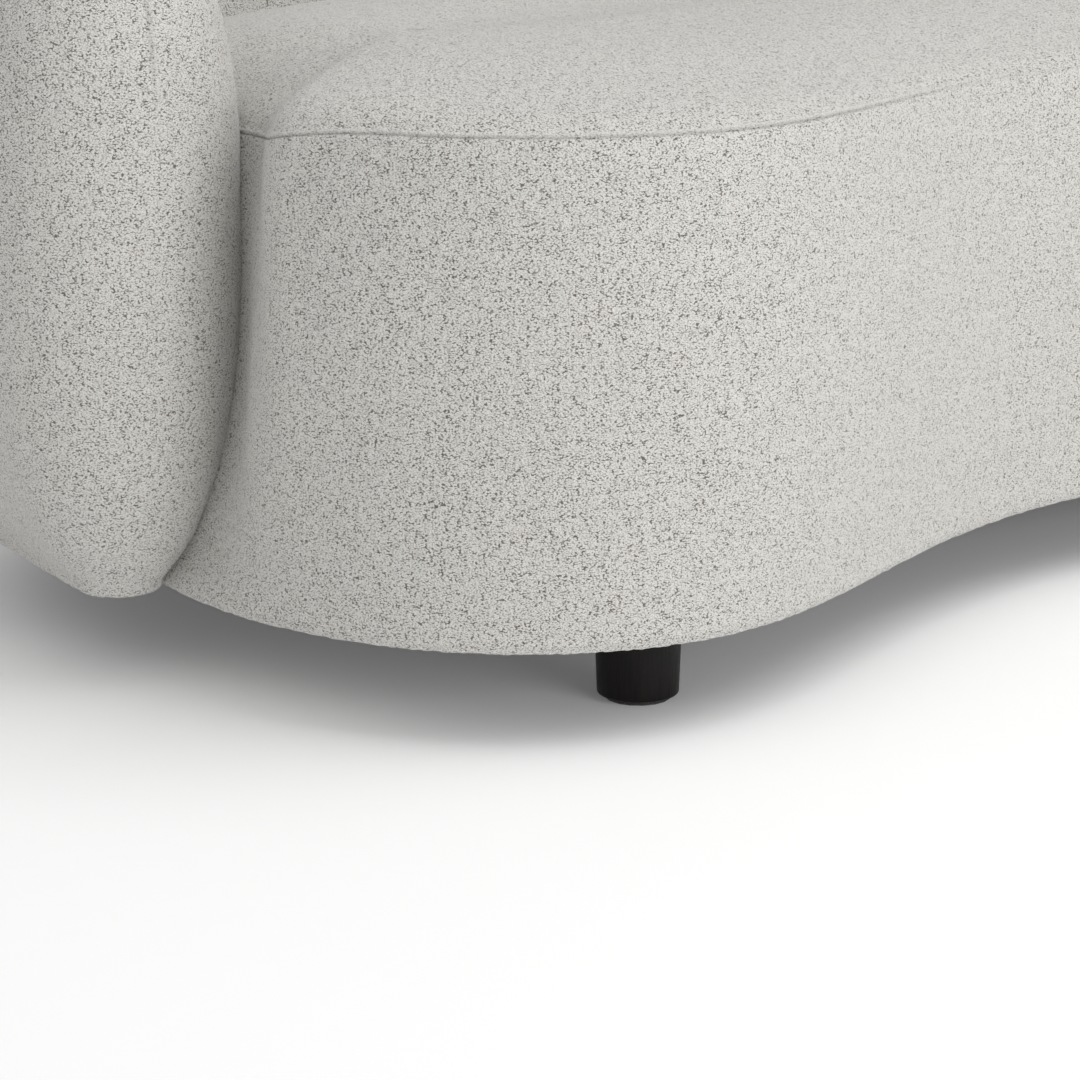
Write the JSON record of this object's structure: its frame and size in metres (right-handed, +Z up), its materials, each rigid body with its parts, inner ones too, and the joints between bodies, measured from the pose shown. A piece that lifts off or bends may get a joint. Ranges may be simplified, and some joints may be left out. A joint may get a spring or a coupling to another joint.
{
  "type": "curved sofa",
  "caption": "Kidney-shaped tight-seat sofa with one rounded back sweeping into both arms, nubby off-white looped fabric and short dark turned wooden legs",
  "frame": {"origin": "centre of the bounding box in plan, at floor level", "axes": "+X along the sofa's length, -Y towards the sitter's front, +Z up"},
  "size_m": [2.325, 1.1358, 0.75],
  "materials": {
    "boucle": "matte",
    "foam": "matte",
    "cambric": "matte",
    "plywood": "matte",
    "pine": "matte",
    "dark_wood": "satin",
    "webbing": "matte",
    "zinc_steel": "satin",
    "glide_plastic": "matte"
  },
  "bodies": {
    "root": {"seat_cover": "boucle", "back_cover": "boucle", "seat_foam_left": "foam", "seat_foam_middle": "foam", "seat_foam_right": "foam", "back_foam": "foam", "dust_cover": "cambric", "base_panel": "plywood", "front_rail": "plywood", "rear_rail": "plywood", "end_rail_left": "plywood", "end_rail_right": "plywood", "back_sole_rail": "plywood", "back_top_rail": "plywood", "cross_rail_1": "plywood", "cross_rail_2": "plywood", "cross_rail_3": "plywood", "cross_rail_4": "plywood", "back_post_1": "pine", "web_strap_1": "webbing", "back_post_2": "pine", "web_strap_2": "webbing", "back_post_3": "pine", "web_strap_3": "webbing", "back_post_4": "pine", "web_strap_4": "webbing", "back_post_5": "pine", "web_strap_5": "webbing", "back_post_6": "pine", "web_strap_6": "webbing", "back_post_7": "pine", "web_strap_7": "webbing", "leg_front_left": "dark_wood", "leg_glide_front_left": "glide_plastic", "leg_bolt_front_left": "zinc_steel", "leg_nut_front_left": "zinc_steel", "leg_front_middle": "dark_wood", "leg_glide_front_middle": "glide_plastic", "leg_bolt_front_middle": "zinc_steel", "leg_nut_front_middle": "zinc_steel", "leg_front_right": "dark_wood", "leg_glide_front_right": "glide_plastic", "leg_bolt_front_right": "zinc_steel", "leg_nut_front_right": "zinc_steel", "leg_rear_left": "dark_wood", "leg_glide_rear_left": "glide_plastic", "leg_bolt_rear_left": "zinc_steel", "leg_nut_rear_left": "zinc_steel", "leg_rear_middle": "dark_wood", "leg_glide_rear_middle": "glide_plastic", "leg_bolt_rear_middle": "zinc_steel", "leg_nut_rear_middle": "zinc_steel", "leg_rear_right": "dark_wood", "leg_glide_rear_right": "glide_plastic", "leg_bolt_rear_right": "zinc_steel", "leg_nut_rear_right": "zinc_steel"}
  },
  "joints": []
}
